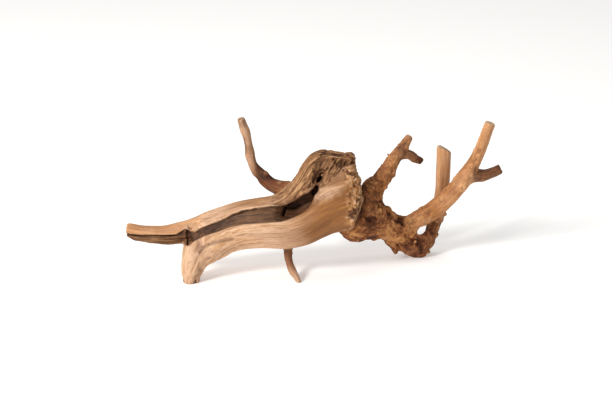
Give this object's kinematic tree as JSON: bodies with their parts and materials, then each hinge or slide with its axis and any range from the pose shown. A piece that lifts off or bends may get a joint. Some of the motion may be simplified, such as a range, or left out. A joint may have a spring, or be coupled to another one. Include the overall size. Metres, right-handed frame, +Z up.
{
  "type": "driftwood piece",
  "caption": "Weathered driftwood: thick channelled trunk with a knobbly crest, tapering limb, broken foot and antler-like root arms, standing on its foot, a thin prop root and a root knuckle.",
  "frame": {"origin": "bottom centre of the bounding box, on the ground plane", "axes": "+X along the length towards the root arms, +Y to the back, +Z up"},
  "size_m": [0.4518, 0.1207, 0.1841],
  "materials": {
    "driftwood": "weathered and partly sanded"
  },
  "bodies": {
    "root": {"driftwood": "driftwood"}
  },
  "joints": []
}
